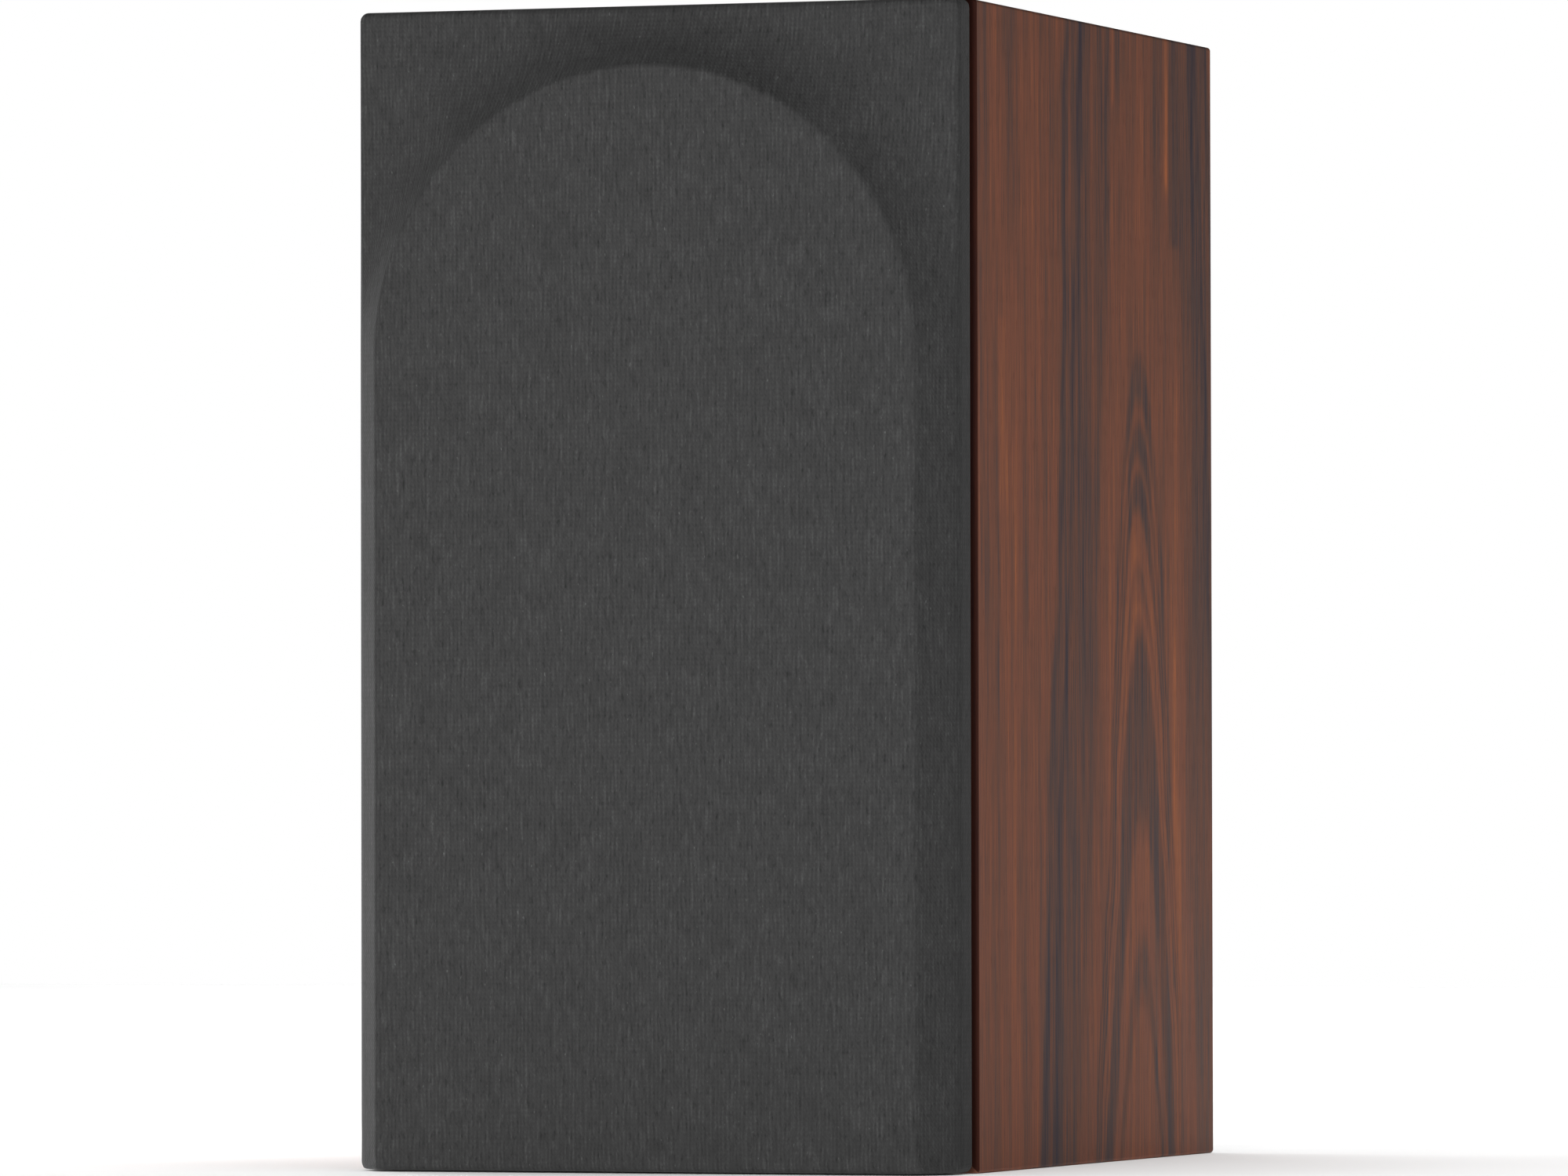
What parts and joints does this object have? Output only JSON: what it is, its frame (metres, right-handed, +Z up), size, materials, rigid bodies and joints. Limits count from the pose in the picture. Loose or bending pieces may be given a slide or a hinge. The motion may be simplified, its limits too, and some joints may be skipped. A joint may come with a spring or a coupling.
{
  "type": "bookshelf loudspeaker",
  "caption": "Two-way bookshelf loudspeaker: veneered box, pull-off cloth grille with a raised arched front, woofer and dome tweeter behind it, rear port and binding posts.",
  "frame": {"origin": "centre of the overall box's footprint, on the surface that the cabinet stands on", "axes": "+Z up; the grille faces -Y and the terminals face +Y; +X is the right-hand side seen from the front"},
  "size_m": [0.2, 0.2728, 0.364],
  "materials": {
    "veneer": "satin rosewood veneer on 15 mm board",
    "baffle_paint": "black textured paint on fibreboard",
    "grille_cloth": "charcoal stretch-knit speaker cloth",
    "grille_board": "fibreboard stained black",
    "black_plastic": "moulded, fine texture",
    "red_plastic": "moulded, glossy",
    "cone_paper": "coated pulp, matt",
    "surround_rubber": "matt",
    "dome_silk": "coated silk",
    "spider_cloth": "resin-treated weave",
    "basket_metal": "black powder coat",
    "plated_steel": "zinc plated",
    "dark_screw": "black oxide",
    "ferrite": "sintered, matt",
    "copper_coil": "enamelled copper winding",
    "gold_plate": "gold plated",
    "circuit_board": "solder mask",
    "capacitor_film": "wrapped film",
    "lead_sleeve": "insulated twin lead",
    "foam": "open-cell acoustic foam"
  },
  "bodies": {
    "cabinet": {"side_panel_right": "veneer", "side_panel_left": "veneer", "top_panel": "veneer", "bottom_panel": "veneer", "front_baffle": "baffle_paint", "rear_panel": "baffle_paint", "damping_foam": "foam", "port_tube": "black_plastic", "terminal_cup": "black_plastic", "tweeter_faceplate": "black_plastic", "grille_socket_1": "black_plastic", "grille_socket_2": "black_plastic", "grille_socket_3": "black_plastic", "grille_socket_4": "black_plastic", "red_post_stud": "gold_plate", "black_post_stud": "gold_plate", "terminal_screw_1": "dark_screw", "terminal_screw_2": "dark_screw", "terminal_screw_3": "dark_screw", "terminal_screw_4": "dark_screw", "woofer_screw_1": "dark_screw", "woofer_screw_2": "dark_screw", "woofer_screw_3": "dark_screw", "woofer_screw_4": "dark_screw", "tweeter_screw_1": "dark_screw", "tweeter_screw_2": "dark_screw", "tweeter_screw_3": "dark_screw", "tweeter_screw_4": "dark_screw", "woofer_basket": "basket_metal", "woofer_front_plate": "plated_steel", "woofer_yoke": "plated_steel", "tweeter_yoke": "plated_steel", "woofer_magnet": "ferrite", "tweeter_magnet": "ferrite", "woofer_surround": "surround_rubber", "woofer_spider": "spider_cloth", "bass_inductor": "copper_coil", "treble_inductor": "copper_coil", "tweeter_surround": "dome_silk", "crossover_board": "circuit_board", "crossover_capacitor": "capacitor_film", "input_lead": "lead_sleeve", "woofer_lead": "lead_sleeve", "tweeter_lead": "lead_sleeve"},
    "woofer_diaphragm": {"woofer_cone": "cone_paper", "woofer_dust_cap": "cone_paper", "woofer_voice_coil": "copper_coil"},
    "tweeter_diaphragm": {"tweeter_dome": "dome_silk"},
    "grille": {"grille_frame": "grille_board", "grille_cloth": "grille_cloth", "grille_peg_1": "black_plastic", "grille_peg_2": "black_plastic", "grille_peg_3": "black_plastic", "grille_peg_4": "black_plastic"},
    "red_post_carriage": {"red_post_insert": "gold_plate"},
    "red_post_grip": {"red_post_cap": "red_plastic"},
    "black_post_carriage": {"black_post_insert": "gold_plate"},
    "black_post_grip": {"black_post_cap": "black_plastic"}
  },
  "joints": [
    {"name": "grille_pull", "type": "slide", "parent": "cabinet", "child": "grille", "axis": [0, -1, 0], "range_m": [0, 0.05]},
    {"name": "woofer_excursion", "type": "slide", "parent": "cabinet", "child": "woofer_diaphragm", "axis": [0, -1, 0], "range_m": [-0.004, 0.004], "stiffness_N_per_m": 1000, "deforming": ["woofer_surround", "woofer_spider"]},
    {"name": "tweeter_excursion", "type": "slide", "parent": "cabinet", "child": "tweeter_diaphragm", "axis": [0, -1, 0], "range_m": [-0.0004, 0.0004], "stiffness_N_per_m": 400, "deforming": ["tweeter_surround"]},
    {"name": "red_post_travel", "type": "slide", "parent": "cabinet", "child": "red_post_carriage", "axis": [0, 1, 0], "range_m": [0, 0.004]},
    {"name": "red_post_turn", "type": "hinge", "parent": "red_post_carriage", "child": "red_post_grip", "pos_m": [-0.0095, 0.1212, 0.088], "axis": [0, 1, 0], "range_deg": [0, 1441]},
    {"name": "black_post_travel", "type": "slide", "parent": "cabinet", "child": "black_post_carriage", "axis": [0, 1, 0], "range_m": [0, 0.004]},
    {"name": "black_post_turn", "type": "hinge", "parent": "black_post_carriage", "child": "black_post_grip", "pos_m": [0.0095, 0.1212, 0.088], "axis": [0, 1, 0], "range_deg": [0, 1441]}
  ],
  "couplings": [
    {"joint": "red_post_turn", "follows": "red_post_travel", "rad_per_m": 6283.2},
    {"joint": "black_post_turn", "follows": "black_post_travel", "rad_per_m": 6283.2}
  ]
}
